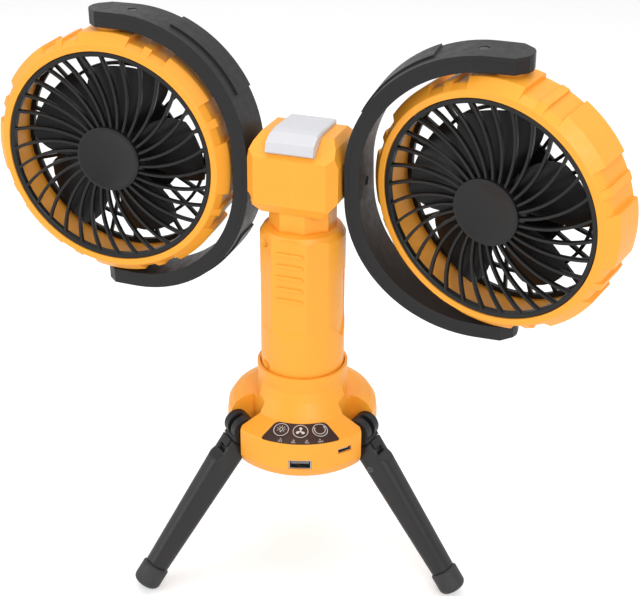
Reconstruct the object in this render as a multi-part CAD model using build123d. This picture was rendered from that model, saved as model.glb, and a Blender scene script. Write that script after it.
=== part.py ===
from build123d import *
from math import atan2, cos, degrees, hypot, pi, radians, sin, sqrt
import os

# Twin-head folding table fan on a small tripod.
# Millimetres. X runs along the two fan heads, -Y is the front of the column, Z is up.
# The origin is on the floor, under the column's axis.

# Clearances
HINGE_GAP = 0.05        # radial, pin or axle in its bore
FIT_GAP = 0.15          # between pieces that are seated in one another
MOVE_GAP = 0.4          # between pieces that move past one another

# Rest pose, as the object is set up
BASE_TURN = 18.5        # base about Z, against the column
LEFT_PITCH = 1.4        # brackets about X, top forwards
RIGHT_PITCH = 6.3
LEFT_TURN = 2.5         # fan heads in their brackets, towards the column
RIGHT_TURN = 15.4

# Tripod legs
LEG_ANGLE = 53.2        # leg below the horizontal
LEG_LENGTH = 120.0      # pin to the end of the foot
LEG_OFFSET = 2.3        # leg's middle line inside the pin
LEG_TOP_W = 19.4
LEG_END_W = 14.0
LEG_THICK = 14.4
LEG_TOP_ROUND = 4.6
LEG_END_ROUND = 5.6
LEG_TOP_S = 10.0        # pin to the top of the leg tube
LEG_PIN_R = 1.5
LEG_PIN_OUT = 44.0      # pin from the column's axis
LEG_PIN_UP = 23.0       # pin above the base's underside
KNUCKLE_R = 8.0
SHANK_W = 9.0           # shank inside the leg, across
SHANK_T = 8.8           # and the other way
SHANK_MID_T = -4.4
SHANK_END_S = 36.0
FOOT_R = 8.7
FOOT_LENGTH = 15.0
FOOT_ROUND = 4.0
LATCH_W = 8.0
LATCH_L = 5.6
LATCH_THICK = 3.0
LATCH_PROUD = 0.7
LATCH_TRAVEL = 4.0
SEAT_T = 3.3            # flat seat of the latch, from the pin's line outwards
SEAT_END_S = 20.5
SEAT_RAMP = 5.5
LEG_SCREW_R = 2.3
LEG_SCREW_S = 25.6      # pin to the cross-head screw
LEG_SCREW_T = -6.2      # screw's place across the leg's outer and inner faces
LEG_ANGLES = {"left": 210.0, "right": 330.0, "rear": 90.0}

# Base
BASE_R = 47.8
BASE_FOOT_R = 42.6
COLLAR_R = 28.4
COLLAR_TOP = 60.0       # heights above the base's underside
PLATE_TOP = 47.0
PLATE_BOTTOM = 43.5
REAR_TOP = 38.5         # shoulder of the rear lobes
CAVITY_SIDE_TOP = 22.0
LOBE_R = 50.4           # front lobe, which carries the panel and the sockets
LOBE_CORNER_OUT = 46.8  # bevelled corners of the front lobe, in a slot's own directions
SHELF_IN_R = 35.4
SHELF_OUT_R = 49.9
SHELF_PROUD = 0.1       # shelf above the panel
BASE_WALL = 2.4
SLOT_IN = 31.0          # inner wall of a leg slot from the axis
COVER_THICK = 2.4
BOARD_THICK = 1.6
BASE_SCREW_PCD = 46.0

# Control panel on the cone of the front lobe
PANEL_IN_R = 36.0
PANEL_OUT_R = 49.8
PANEL_IN_Z = 33.3
PANEL_OUT_Z = 27.4
PANEL_THICK = 1.2
PANEL_TOP_HALF = 24.5   # degrees
PANEL_LOW_HALF = 29.3
PANEL_TOP_CORNER = 4.0
PANEL_LOW_CORNER = 1.5
BUTTON_R = 4.8
BUTTON_THICK = 1.6
BUTTON_STEP = 16.8      # degrees between buttons
BUTTON_NAMES = ("light_button", "fan_button", "mode_button")
BUTTON_AT = 0.38        # from the panel's inner edge to its outer edge
LED_AT = 0.82
LED_STEP = 9.8          # degrees between gauge lamps
LED_R = 0.65
USB_A_WIDTH = 14.1
USB_A_HEIGHT = 6.3
USB_A_UP = 12.7
USB_A_DEPTH = 14.0
USB_C_WIDTH = 9.6
USB_C_HEIGHT = 3.4
USB_C_UP = 19.3
USB_C_DEPTH = 7.5
USB_C_ANGLE = 33.0

# Column
COLUMN_R = 26.0
COLUMN_GAP = 0.6        # between column and collar
COLUMN_TOP = 153.0      # heights above the base's underside
NECK_BEVEL = 5.0
COLUMN_SCREW_LOW = COLLAR_TOP + 2.5
FACET_IN = 23.5         # front facet from the axis
FACET_LOW = 86.0
RIB_COUNT = 5
RIB_PITCH = 7.43
RIB_FIRST = 110.7
RIB_LENGTH = 17.0
RIB_HEIGHT = 2.2
RIB_PROUD = 0.8
GRIP_DEPTH = 1.2
GRIP_LOW = 80.5
GRIP_HIGH = 127.0
GRIP_HALF = 12.4
NECK_IN = 18.8          # flats of the eight-sided neck
SPIGOT_R = 15.0
CELL_R = 9.1
CELL_LENGTH = 65.0
CELL_LOW = 66.0
CAVITY_R = 20.2
SCREW_R = 1.5
SCREW_HEAD_R = 2.6
SWIVEL_RING_R = 19.0
SWIVEL_RING_THICK = 3.0

# Head block and lamp
HEAD_HALF_X = 28.0
HEAD_HALF_Y = 24.0
HEAD_FRONT_HALF = 22.3
HEAD_LOW = -19.6        # heights from the bracket axis
HEAD_SIDE_LOW = -9.5
HEAD_FRONT_LOW = -13.6
HEAD_FRONT_TOP = 14.8
HEAD_TOP = 26.3
HEAD_ROOF_HALF = 22.0
HEAD_BEVEL_LOW = 11.5   # bevels between the sides and the roof
HEAD_BEVEL_MID = 21.5
HEAD_TOP_FRONT = -9.0
HEAD_TOP_BACK = 16.0
PIVOT_UP = 184.7        # bracket axis above the base's underside
LAMP_HALF = 14.6
LAMP_PROUD = 3.2
LAMP_BACK = 17.0
LAMP_LOW = 18.8
LAMP_WALL = 1.6

# Brackets, seen along Y from the fan's centre: u runs towards the column
FAN_X = 119.0
TIP_OUT = 87.6          # outer face of a tip from the fan's centre
BRACKET_THICK = 9.3
COVER_SKIN = 3.0
ARC_U = 9.0
ARC_R = 80.0
TIP_END = 13.5
TIP_HALF_DEPTH = 12.0
MID_HALF_DEPTH = 14.2
AXLE_R = 7.0
AXLE_BORE = 3.0
AXLE_FLANGE_R = 11.0
AXLE_FLANGE = 1.6
NUT_R = 12.0
NUT_THICK = 4.0
TIP_SCREW_U = 13.6
TIP_SCREW_HEAD_R = 2.6
RAISED = 1.2            # raised strip on the cover
RAISED_FROM = 29.0      # degrees above and below the bracket's middle
RAISED_TO = 64.0
RAISED_FRONT = 5.0

# Fan heads, seen from the front: w runs forwards from the pivot axis
RIM_W = 19.6
RIM_R = 66.0
LIP_R = 70.6
WALL_R = 73.2
PAD_R = 76.2
RIB_PAD_R = 75.0
BACK_W = -12.0
DRUM_R = 68.0
PAD_COUNT = 8
PAD_ARC = 25.0
RIB_PAD_ARC = 4.0
BOSS_R = 9.0
PIVOT_R = 3.0
HUB_R = 20.2
HUB_PROUD = 0.8
SPIRAL_COUNT = 32
SPIRAL_WIDTH = 1.7
SPIRAL_DEPTH = 3.2
SPIRAL_MID = 10.3       # degrees gained at the middle radius
SPIRAL_END = 21.0       # degrees gained at the rim
RIM_WIDTH = 3.2
RIM_DEPTH = 4.0
REAR_THICK = 3.0
REAR_COUNT = 24
REAR_HUB_R = 36.0
REAR_RIM = 3.2
REAR_MID_R = 51.0
REAR_RIB = 2.0
MOTOR_R = 16.0
MOTOR_LENGTH = 11.0
SHAFT_R = 1.5
IMPELLER_R = 53.0
IMPELLER_HUB_R = 19.0
BLADE_COUNT = 5
BLADE_THICK = 1.5
CUP_FRONT = 15.5
CUP_BACK = 3.0

# Heights that follow from the legs
S = sin(radians(LEG_ANGLE))
C = cos(radians(LEG_ANGLE))
FOOT_CENTRE_T = -LEG_OFFSET - (FOOT_R - FOOT_ROUND)
PIN_Z = S * (LEG_LENGTH - FOOT_ROUND) - C * FOOT_CENTRE_T + FOOT_ROUND
BASE_Z = PIN_Z - LEG_PIN_UP
PIVOT_Z = BASE_Z + PIVOT_UP
SLOT_HALF = LEG_THICK / 2 + 0.7


def face_xz(points):
    return make_face(Plane.XZ * Polyline(*points, close=True))


def turned(points, arc=360.0):
    """Profile of (radius, height) turned about Z."""
    return revolve(face_xz(points), Axis.Z, arc)


def across_x(points, half):
    """Outline of (y, z) with half its width on each side of x = 0."""
    return extrude(make_face(Plane.YZ * Polyline(*points, close=True)), half, both=True)


def across_y(points, half):
    """Outline of (x, z) with half its depth on each side of y = 0."""
    return extrude(face_xz(points), half, both=True)


def upright(points, low, high):
    """Outline of (x, y) from one height to another."""
    return Pos(0, 0, low) * extrude(make_face(Polyline(*points, close=True)), high - low)


def rod(radius, start, end, axis="Z"):
    """Cylinder from start to end along an axis through the origin."""
    body = Pos(0, 0, (start + end) / 2) * Cylinder(radius, end - start)
    if axis == "X":
        return Rot(0, 90, 0) * body
    if axis == "Y":
        return Rot(-90, 0, 0) * body
    return body


def tube(outer, inner, start, end, axis="Z"):
    return rod(outer, start, end, axis) - rod(inner, start - 1, end + 1, axis)


def polar(radius, angle):
    return (radius * cos(radians(angle)), radius * sin(radians(angle)))


def save(name, shape):
    export_step(shape, "parts/" + name + ".step")


def group(solids):
    return Compound(children=list(solids))


# Base
def base_place():
    return Pos(0, 0, BASE_Z) * Rot(0, 0, BASE_TURN)


def rear_shoulder():
    """Shoulder of the rear lobes, nearly level and then rounded down to the side."""
    level = [(COLLAR_R, REAR_TOP), (COLLAR_R + 9.6, REAR_TOP)]
    return level + [(BASE_R - 3.8, REAR_TOP - 2.5), (BASE_R - 0.8, REAR_TOP - 7), (BASE_R, REAR_TOP - 13.5)]


def base_foot_points(radius):
    return [(radius, 9), (radius - 3, 3), (BASE_FOOT_R, 0), (0, 0)]


def rear_profile():
    top = [(0, COLLAR_TOP), (COLLAR_R, COLLAR_TOP)]
    return top + rear_shoulder() + base_foot_points(BASE_R)


def front_profile():
    foot = (SHELF_IN_R, cone_z(SHELF_IN_R) + SHELF_PROUD)
    skirt = [(COLLAR_R, PLATE_TOP + 3), (COLLAR_R + 1.8, PLATE_TOP - 2.5)]
    skirt += [(foot[0] - 3.0, foot[1] + 6.2), (foot[0] - 1.2, foot[1] + 2.6), foot]
    edge_z = cone_z(SHELF_OUT_R) + SHELF_PROUD
    shelf = [(SHELF_OUT_R, edge_z), (LOBE_R, edge_z - 1.2)]
    top = [(0, COLLAR_TOP), (COLLAR_R, COLLAR_TOP)]
    return top + skirt + shelf + base_foot_points(LOBE_R)


def slot_box(extra=0.0, low=-1.0, high=60.0):
    """Space of one leg slot, opened by extra on every side."""
    length = BASE_R + 10 - SLOT_IN + extra
    box = Box(length, 2 * (SLOT_HALF + extra), high - low)
    return Pos(SLOT_IN - extra + length / 2, 0, (high + low) / 2) * box


def slots(extra=0.0, low=-1.0, high=60.0):
    return [Rot(0, 0, a) * slot_box(extra, low, high) for a in LEG_ANGLES.values()]


def front_wedge(half=60.0):
    reach = 3 * BASE_R
    left = polar(reach, -90 - half)
    right = polar(reach, -90 + half)
    return upright([(0, 0), left, (0, -2 * reach), right], -5, COLLAR_TOP + 5)


def lobe_corner(side):
    """Cut for the bevelled corner of the front lobe beside a leg slot."""
    reach = 2 * BASE_R
    run = reach - LOBE_CORNER_OUT
    points = [(LOBE_CORNER_OUT, side * SLOT_HALF), (reach, side * (SLOT_HALF + run)), (reach, side * SLOT_HALF)]
    return upright(points, -1, COLLAR_TOP)


def cone_z(r):
    slope = (PANEL_OUT_Z - PANEL_IN_Z) / (PANEL_OUT_R - PANEL_IN_R)
    return PANEL_IN_Z + slope * (r - PANEL_IN_R)


def cone_layer(top, bottom, inner=PANEL_IN_R - 8, outer=PANEL_OUT_R + 8):
    """Ring between two depths below the panel's cone."""
    points = [(inner, cone_z(inner) + top), (outer, cone_z(outer) + top)]
    points += [(outer, cone_z(outer) + bottom), (inner, cone_z(inner) + bottom)]
    return turned(points)


def panel_outline(grow=0.0):
    """Plan outline of the panel, from arcs about the base's axis."""
    inner = PANEL_IN_R - grow
    outer = PANEL_OUT_R + grow
    spread = degrees(grow / outer)
    low = PANEL_LOW_HALF + spread
    top = PANEL_TOP_HALF + spread
    a = polar(outer, -90 - low)
    b = polar(outer, -90 + low)
    c = polar(inner, -90 + top)
    d = polar(inner, -90 - top)
    low_arc = ThreePointArc(a, polar(outer, -90), b)
    top_arc = ThreePointArc(c, polar(inner, -90), d)
    face = make_face([low_arc, Line(b, c), top_arc, Line(d, a)])
    face = fillet(face.vertices().sort_by_distance((0, 0, 0))[:2], PANEL_TOP_CORNER)
    return fillet(face.vertices().sort_by_distance((0, 0, 0))[-2:], PANEL_LOW_CORNER)


def panel_solid(grow, top, bottom):
    prism = extrude(Pos(0, 0, -5) * panel_outline(grow), COLLAR_TOP)
    return cone_layer(top, bottom) & prism


def on_cone(share, angle):
    """Place on the panel, its Z square to the cone. angle is counted from the front."""
    r = PANEL_IN_R + share * (PANEL_OUT_R - PANEL_IN_R)
    tilt = degrees(atan2(PANEL_IN_Z - PANEL_OUT_Z, PANEL_OUT_R - PANEL_IN_R))
    return Rot(0, 0, -90 + angle) * Pos(r, 0, cone_z(r)) * Rot(0, tilt, 0)


def button_place(index):
    return on_cone(BUTTON_AT, (index - 1) * BUTTON_STEP)


def usb_a_place():
    return Rot(0, 0, -90) * Pos(0, 0, USB_A_UP)


def usb_c_place():
    return Rot(0, 0, -90 + USB_C_ANGLE) * Pos(0, 0, USB_C_UP)


def socket_hole(width, height, inner_r):
    length = LOBE_R + 5 - inner_r
    return Pos(inner_r + length / 2, 0, 0) * Box(length, width, height)


def base_cavity():
    inner = BASE_R - BASE_WALL
    low = COVER_THICK
    points = [(0, low), (BASE_FOOT_R - 1.5, low), (inner, 11), (inner, CAVITY_SIDE_TOP)]
    depth = PANEL_THICK + BASE_WALL
    points += [(inner - 1, cone_z(inner - 1) - depth), (PANEL_IN_R, PANEL_IN_Z - depth)]
    neck = COLLAR_R - 2.8
    points += [(SLOT_IN, PANEL_IN_Z - 2), (neck, PANEL_IN_Z + 1.5), (neck, PLATE_BOTTOM), (0, PLATE_BOTTOM)]
    cavity = turned(points)
    for box in slots(BASE_WALL):
        cavity -= box
    return cavity


def screw_places():
    return [polar(BASE_SCREW_PCD / 2, a) for a in (-45, 45, 135, 225)]


def make_base_housing():
    wedge = front_wedge()
    body = (turned(rear_profile()) - wedge) + (turned(front_profile()) & wedge)
    for box in slots():
        body -= box
    body -= Rot(0, 0, LEG_ANGLES["left"]) * lobe_corner(1)
    body -= Rot(0, 0, LEG_ANGLES["right"]) * lobe_corner(-1)
    body -= base_cavity()
    body -= rod(BASE_FOOT_R - 1.5, -1, COVER_THICK)
    body -= rod(COLUMN_R + COLUMN_GAP, PLATE_TOP, COLLAR_TOP + 1)
    body -= rod(SPIGOT_R + HINGE_GAP, PLATE_BOTTOM - 1, PLATE_TOP + 1)
    for angle in LEG_ANGLES.values():
        pin = rod(LEG_PIN_R, -SLOT_HALF - 2.4, SLOT_HALF + 2.4, "Y")
        body -= Rot(0, 0, angle) * Pos(LEG_PIN_OUT, 0, LEG_PIN_UP) * pin
    body -= panel_solid(FIT_GAP, 3, -PANEL_THICK)
    for index in range(len(BUTTON_NAMES)):
        body -= button_place(index) * rod(BUTTON_R - 1.2, -8, 2)
    for angle in led_angles():
        body -= on_cone(LED_AT, angle) * rod(LED_R, -6, 2)
    body -= usb_a_place() * socket_hole(USB_A_WIDTH, USB_A_HEIGHT, LOBE_R - USB_A_DEPTH)
    body -= usb_c_place() * socket_hole(USB_C_WIDTH, USB_C_HEIGHT, LOBE_R - USB_C_DEPTH)
    posts = [Pos(x, y, 0) * rod(3.6, COVER_THICK, PLATE_BOTTOM) for x, y in screw_places()]
    for post in posts:
        body += post
    for x, y in screw_places():
        body -= Pos(x, y, 0) * rod(SCREW_R, 0, 12)
    return body


def make_bottom_cover():
    body = rod(BASE_FOOT_R - 1.5 - FIT_GAP, 0, COVER_THICK)
    for box in slots(FIT_GAP + BASE_WALL):
        body -= box
    for x, y in screw_places():
        body -= Pos(x, y, 0) * rod(SCREW_R, -1, COVER_THICK + 1)
        body -= Pos(x, y, 0) * rod(SCREW_HEAD_R + FIT_GAP, -1, 1.2)
    return body


def make_base_screws():
    head = rod(SCREW_HEAD_R, 0, 1.2) + rod(SCREW_R, 1.2, 11)
    return group([Pos(x, y, 0) * head for x, y in screw_places()])


def led_angles():
    return [LED_STEP * (i - 1.5) for i in range(4)]


def make_control_panel():
    body = panel_solid(0, 0, -PANEL_THICK)
    for index in range(len(BUTTON_NAMES)):
        body -= button_place(index) * rod(BUTTON_R + MOVE_GAP / 2, -8, 3)
    for angle in led_angles():
        body -= on_cone(LED_AT, angle) * rod(LED_R, -6, 2)
    return body


def make_button():
    """Key with a stem that reaches the board's switch."""
    cap = rod(BUTTON_R, -PANEL_THICK + 0.75, BUTTON_THICK - PANEL_THICK)
    stem = rod(BUTTON_R - 1.2 - MOVE_GAP / 2, -6.5, -PANEL_THICK + 0.75)
    return cap + stem


def make_gauge_leds():
    return group([on_cone(LED_AT, a) * rod(LED_R, -4.2, 0) for a in led_angles()])


def make_main_board():
    """Board that stands on ribs under the panel, inside the front lobe and the middle."""
    board = rod(SLOT_IN - BASE_WALL - 1.0, 6, 6 + BOARD_THICK)
    for x, y in screw_places():
        board -= Pos(x, y, 0) * rod(3.6 + FIT_GAP, 0, 12)
    return board


def make_usb_a():
    """Metal shell with its tongue, mouth outwards."""
    out = LOBE_R - 0.8
    inner = LOBE_R - USB_A_DEPTH
    shell = socket_block(USB_A_WIDTH - 2 * FIT_GAP, USB_A_HEIGHT - 2 * FIT_GAP, inner, out)
    shell -= socket_block(USB_A_WIDTH - 1.6, USB_A_HEIGHT - 1.4, inner + 2, out + 2)
    tongue = Pos(0, 0, 0.9) * socket_block(USB_A_WIDTH - 3.4, 1.6, inner + 1.5, out - 1)
    return shell + tongue


def socket_block(width, height, inner, outer):
    return Pos((inner + outer) / 2, 0, 0) * Box(outer - inner, width, height)


def make_usb_c():
    out = LOBE_R - 1.0
    inner = LOBE_R - USB_C_DEPTH
    width = USB_C_WIDTH - 2 * FIT_GAP
    height = USB_C_HEIGHT - 2 * FIT_GAP
    shell = socket_block(width, height, inner, out)
    shell -= socket_block(width - 0.8, height - 0.7, inner + 1.5, out + 2)
    tongue = socket_block(width - 2.4, 0.8, inner + 1, out - 1)
    return shell + tongue


def make_leg_pins():
    pin = rod(LEG_PIN_R, -SLOT_HALF - 2.4, SLOT_HALF + 2.4, "Y")
    places = [Rot(0, 0, a) * Pos(LEG_PIN_OUT, 0, LEG_PIN_UP) for a in LEG_ANGLES.values()]
    return group([place * pin for place in places])


# Legs: X runs from the pin down the leg, Y across it, Z to its outer face
def leg_place(name):
    angle = BASE_TURN + LEG_ANGLES[name]
    return Rot(0, 0, angle) * Pos(LEG_PIN_OUT, 0, PIN_Z) * Rot(0, LEG_ANGLE, 0)


def leg_width(s):
    share = (s - LEG_TOP_S) / (LEG_LENGTH - FOOT_LENGTH - LEG_TOP_S)
    return LEG_TOP_W + share * (LEG_END_W - LEG_TOP_W)


def leg_section(s, width, thick, corner):
    plane = Plane(origin=(s, 0, -LEG_OFFSET), x_dir=(0, 1, 0), z_dir=(1, 0, 0))
    return plane * RectangleRounded(thick, width, corner)


def leg_outer_t(s):
    return -LEG_OFFSET + leg_width(s) / 2


def latch_track():
    """Channel of the latch in the leg's seat, with room for its travel."""
    low = LEG_TOP_S - 3
    high = LEG_TOP_S + LATCH_L + LATCH_TRAVEL
    depth = LATCH_THICK - LATCH_PROUD + FIT_GAP
    channel = Box(high - low, LATCH_W + 2 * FIT_GAP, 2 * depth)
    return Pos((low + high) / 2, 0, SEAT_T) * channel


def latch_seat():
    """Cut that leaves a flat seat with a ramp up to the rounded outer face."""
    low = LEG_TOP_S - 3
    top = SEAT_T + 12
    crown = SEAT_END_S + SEAT_RAMP
    side = [(low, top), (low, SEAT_T), (SEAT_END_S, SEAT_T), (crown, leg_outer_t(SEAT_END_S)), (crown, top)]
    return across_y(side, LEG_THICK)


def make_leg():
    end = LEG_LENGTH - FOOT_LENGTH
    top = leg_section(LEG_TOP_S, LEG_TOP_W, LEG_THICK, LEG_TOP_ROUND)
    low = leg_section(end, LEG_END_W, LEG_END_W, LEG_END_ROUND)
    body = loft([top, low])
    body += Pos(0, 0, -LEG_OFFSET) * rod(LEG_END_W / 2 - 1, end, LEG_LENGTH - 5, "X")
    pocket_length = SHANK_END_S - LEG_TOP_S + FIT_GAP + 1
    pocket = Box(pocket_length, SHANK_W + 2 * FIT_GAP, SHANK_T + 2 * FIT_GAP)
    body -= Pos(LEG_TOP_S - 1 + pocket_length / 2, 0, SHANK_MID_T) * pocket
    body -= latch_seat()
    body -= latch_track()
    screw = rod(SCREW_R, -LEG_THICK, LEG_THICK / 2 - 2, "Y")
    screw += rod(LEG_SCREW_R, -LEG_THICK, -LEG_THICK / 2 + 1.2, "Y")
    body -= Pos(LEG_SCREW_S, 0, LEG_SCREW_T) * screw
    return body


def make_leg_hinge():
    knuckle = rod(KNUCKLE_R, -LEG_THICK / 2, LEG_THICK / 2, "Y")
    neck = Pos(5.2, 0, -LEG_OFFSET - 1) * Box(8.4, LEG_THICK, 2 * KNUCKLE_R - 3)
    shank = Box(SHANK_END_S - LEG_TOP_S + 2, SHANK_W, SHANK_T)
    body = knuckle + neck + Pos((SHANK_END_S + LEG_TOP_S - 2) / 2, 0, SHANK_MID_T) * shank
    gap = Box(2 * KNUCKLE_R + 1, 4.0, 2 * KNUCKLE_R)
    body -= Pos(-1.0, 0, KNUCKLE_R + 3.0) * gap
    body -= rod(LEG_PIN_R + HINGE_GAP, -LEG_THICK, LEG_THICK, "Y")
    return body - Pos(LEG_SCREW_S, 0, LEG_SCREW_T) * rod(SCREW_R, -LEG_THICK, LEG_THICK, "Y")


def make_leg_latch():
    """Tab that slides in the channel of the leg's outer face."""
    middle = SEAT_T + LATCH_PROUD - LATCH_THICK / 2
    tab = Box(LATCH_L, LATCH_W - 2 * FIT_GAP, LATCH_THICK)
    tab = chamfer(tab.edges().group_by(Axis.Z)[-1], 0.4)
    return Pos(LEG_TOP_S - 0.3 + LATCH_L / 2, 0, middle) * tab


def make_leg_foot():
    end = LEG_LENGTH
    start = LEG_LENGTH - FOOT_LENGTH
    points = [(0, start + FIT_GAP), (FOOT_R - 1.2, start + FIT_GAP), (FOOT_R, start + 1.4), (FOOT_R, end - FOOT_ROUND)]
    arc = ThreePointArc(points[-1], (FOOT_R - FOOT_ROUND * (1 - cos(pi / 4)), end - FOOT_ROUND * (1 - sin(pi / 4))),
                        (FOOT_R - FOOT_ROUND, end))
    outline = Polyline(*points) + arc + Polyline((FOOT_R - FOOT_ROUND, end), (0, end), (0, start + FIT_GAP))
    body = revolve(make_face(Plane.XZ * outline), Axis.Z)
    body -= rod(LEG_END_W / 2 - 1 + FIT_GAP / 3, start - 1, LEG_LENGTH - 5 + FIT_GAP)
    return Pos(0, 0, -LEG_OFFSET) * (Rot(0, 90, 0) * body)


def make_leg_screw():
    head = rod(LEG_SCREW_R - FIT_GAP, -LEG_THICK / 2 + 0.1, -LEG_THICK / 2 + 1.2, "Y")
    head += rod(SCREW_R - FIT_GAP / 3, -LEG_THICK / 2 + 1.2, LEG_THICK / 2 - 3, "Y")
    return Pos(LEG_SCREW_S, 0, LEG_SCREW_T) * head


# Column with neck and head block, in heights above the base's underside
def column_solid():
    top = COLUMN_TOP
    low = PLATE_TOP + 0.3
    points = [(0, low), (COLUMN_R, low), (COLUMN_R, top - NECK_BEVEL), (COLUMN_R - 2.2, top - 1.4)]
    points += [(COLUMN_R - NECK_BEVEL, top), (0, top)]
    body = turned(points)
    for angle, distance, half in ((-90, FACET_IN, 15), (-49.2, 25.1, 9), (-130.8, 25.1, 9)):
        cut = [(distance, FACET_LOW + 3), (COLUMN_R + 0.2, FACET_LOW), (COLUMN_R + 5, FACET_LOW)]
        cut += [(COLUMN_R + 5, top - 1.5), (COLUMN_R + 0.2, top - 1.5), (distance, top - 3.5)]
        body -= Rot(0, 0, angle) * across_y(cut, half)
    middle = (GRIP_LOW + GRIP_HIGH) / 2
    side = [(0, GRIP_LOW), (GRIP_HALF, GRIP_LOW + 11), (GRIP_HALF, GRIP_HIGH - 6), (0, GRIP_HIGH)]
    side += [(-GRIP_HALF, GRIP_HIGH - 6), (-GRIP_HALF, GRIP_LOW + 11)]
    shell = tube(COLUMN_R + 3, COLUMN_R - GRIP_DEPTH, GRIP_LOW - 2, GRIP_HIGH + 2)
    body -= shell & across_x(side, COLUMN_R + 5)
    for index in range(RIB_COUNT):
        bar = SlotOverall(RIB_LENGTH, RIB_HEIGHT)
        rib = extrude(Plane.XZ * bar, RIB_PROUD + 1)
        body += Pos(0, -FACET_IN + 1, RIB_FIRST + index * RIB_PITCH) * rib
    return body + rod(SPIGOT_R, PLATE_BOTTOM - SWIVEL_RING_THICK - 0.6, low)


def neck_solid():
    apothem = NECK_IN
    corner = apothem / cos(radians(22.5))
    points = [polar(corner, 22.5 + 45 * i) for i in range(8)]
    return upright(points, COLUMN_TOP - 2, PIVOT_UP + HEAD_LOW + 4)


def head_side_outline(grow=0.0):
    top = HEAD_TOP + grow
    front = -HEAD_HALF_Y - grow
    points = [(front + 4, HEAD_LOW - grow), (front, HEAD_FRONT_LOW), (front, HEAD_FRONT_TOP)]
    points += [(HEAD_TOP_FRONT, top), (HEAD_TOP_BACK, top), (-front, HEAD_FRONT_TOP + 3)]
    points += [(-front, HEAD_FRONT_LOW), (-front - 4, HEAD_LOW - grow)]
    return [(y, PIVOT_UP + z) for y, z in points]


def head_solid(grow=0.0):
    half = HEAD_HALF_X + grow
    low = HEAD_LOW - grow
    right = [(HEAD_ROOF_HALF, HEAD_TOP + grow), (half - 2.9, HEAD_BEVEL_MID), (half, HEAD_BEVEL_LOW)]
    right += [(half, HEAD_SIDE_LOW), (half - 9, low)]
    front = right + [(-x, z) for x, z in reversed(right)]
    depth = HEAD_HALF_Y + grow
    bevel = HEAD_HALF_X - HEAD_FRONT_HALF
    plan = [(half - bevel, -depth), (half, -depth + bevel), (half, depth - bevel), (half - bevel, depth)]
    plan += [(-half + bevel, depth), (-half, depth - bevel), (-half, -depth + bevel), (-half + bevel, -depth)]
    body = across_x(head_side_outline(grow), half)
    body = body & across_y([(x, PIVOT_UP + z) for x, z in front], depth)
    return body & upright(plan, PIVOT_UP - 40, PIVOT_UP + 40)


def lamp_outline(shrink=0.0):
    """Side outline of the diffuser, from its low front edge over the top to the back."""
    front = -HEAD_HALF_Y - 0.3 + shrink
    top = HEAD_TOP + LAMP_PROUD - shrink
    points = [(front, LAMP_LOW + shrink), (front + 1.8, LAMP_LOW + 5.4), (-14.5, top - 0.9), (-9.0, top)]
    points += [(LAMP_BACK - shrink, top - 0.4), (LAMP_BACK - shrink, HEAD_TOP - 3)]
    points += [(HEAD_TOP_FRONT + 1, HEAD_TOP - 3), (-HEAD_HALF_Y + 4, HEAD_FRONT_TOP + 1.5), (front, LAMP_LOW + shrink)]
    return [(y, PIVOT_UP + z) for y, z in points[:-1]]


def make_lamp_diffuser():
    body = across_x(lamp_outline(), LAMP_HALF)
    top_edges = [e for e in body.edges() if abs(abs(e.center().X) - LAMP_HALF) < 0.01]
    top_edges = [e for e in top_edges if e.center().Z > PIVOT_UP + HEAD_TOP + 0.5]
    body = chamfer(top_edges, 1.0)
    inner = [(-17.0, HEAD_TOP - 4.6), (-9.5, HEAD_TOP + 0.9), (LAMP_BACK - 2, HEAD_TOP + 0.9)]
    inner += [(LAMP_BACK - 2, HEAD_TOP - 6), (-17.0, HEAD_TOP - 6)]
    return body - across_x([(y, PIVOT_UP + z) for y, z in inner], LAMP_HALF - LAMP_WALL)


def column_screw_places():
    low = COLUMN_SCREW_LOW
    return [(-19.5, low), (19.5, low), (-17.5, COLUMN_TOP - 9), (17.5, COLUMN_TOP - 9),
            (-19.0, PIVOT_UP - 12), (19.0, PIVOT_UP - 12)]


def column_whole():
    body = column_solid() + neck_solid() + head_solid()
    cavity = rod(CAVITY_R, CELL_LOW, CELL_LOW + CELL_LENGTH + 8)
    cavity += rod(SPIGOT_R - 4, 30, CELL_LOW + 1)
    cavity += rod(NECK_IN - 5, CELL_LOW + CELL_LENGTH, PIVOT_UP + HEAD_LOW + 4)
    cavity += Pos(0, 0, PIVOT_UP + 0.5) * Box(2 * (HEAD_HALF_X - 9), 2 * (HEAD_HALF_Y - 7), 36)
    body -= cavity
    body -= rod(AXLE_R + HINGE_GAP, -HEAD_HALF_X - 5, HEAD_HALF_X + 5, "X").moved(Location((0, 0, PIVOT_UP)))
    pocket = across_x(lamp_outline(), LAMP_HALF + FIT_GAP)
    body -= pocket
    window = Box(2 * LAMP_HALF - 6, 22, 14)
    body -= Pos(0, 3, PIVOT_UP + HEAD_TOP - 6) * window
    for y, z in column_screw_places():
        reach = HEAD_HALF_X + 5
        body -= Pos(0, y, z) * rod(SCREW_R, -reach, 12, "X")
        body -= Pos(0, y, z) * rod(SCREW_HEAD_R + FIT_GAP, -reach, -screw_depth(z), "X")
    return body


def screw_depth(z):
    return 12.0 if z < PIVOT_UP + HEAD_LOW else 20.0


def half_space(side):
    return Pos(side * 100, 0, PIVOT_UP / 2) * Box(200, 200, 400)


def column_place():
    return Pos(0, 0, BASE_Z)


def make_column_screws():
    screws = []
    for y, z in column_screw_places():
        head_at = screw_depth(z)
        body = rod(SCREW_HEAD_R, -head_at - 1.6, -head_at, "X") + rod(SCREW_R, -head_at, 12, "X")
        screws.append(Pos(0, y, z) * body)
    return group(screws)


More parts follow.
